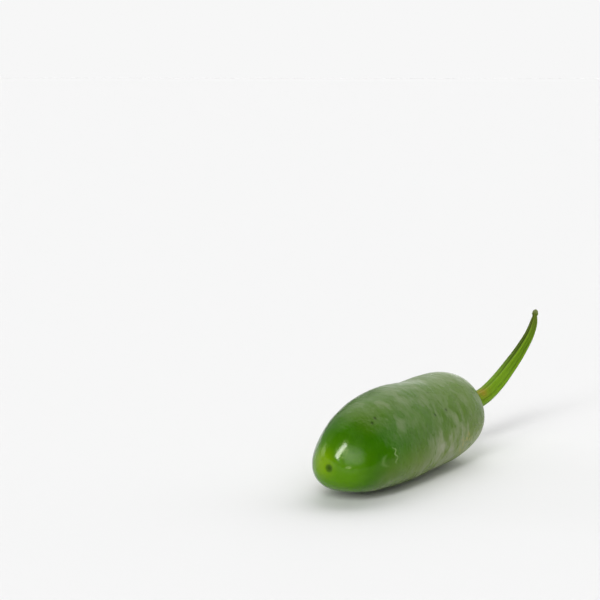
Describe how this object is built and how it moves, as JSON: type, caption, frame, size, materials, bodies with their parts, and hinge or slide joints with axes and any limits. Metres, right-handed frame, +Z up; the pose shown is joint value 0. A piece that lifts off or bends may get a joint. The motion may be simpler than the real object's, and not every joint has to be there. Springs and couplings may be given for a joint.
{
  "type": "jalapeño chilli pepper",
  "caption": "Blunt-tipped green chilli pod lying on its side, with its calyx and a curved ribbed stem; whole fresh vegetable for kitchen and market scenes.",
  "frame": {"origin": "on the small flat spot of the belly that the pod rests on, under its weight", "axes": "+X along the pod from its blossom tip to its stem, -Z out of the rest spot into the surface, +Z up"},
  "size_m": [0.1151, 0.0334, 0.0487],
  "materials": {
    "pod_skin": "smooth waxy dark green skin, yellower at the tip",
    "calyx_green": "satin dull green",
    "stem_green": "satin yellow-green with lengthwise ribs, olive-brown at the cut end"
  },
  "bodies": {
    "root": {"pod": "pod_skin", "calyx": "calyx_green", "stem": "stem_green"}
  },
  "joints": []
}
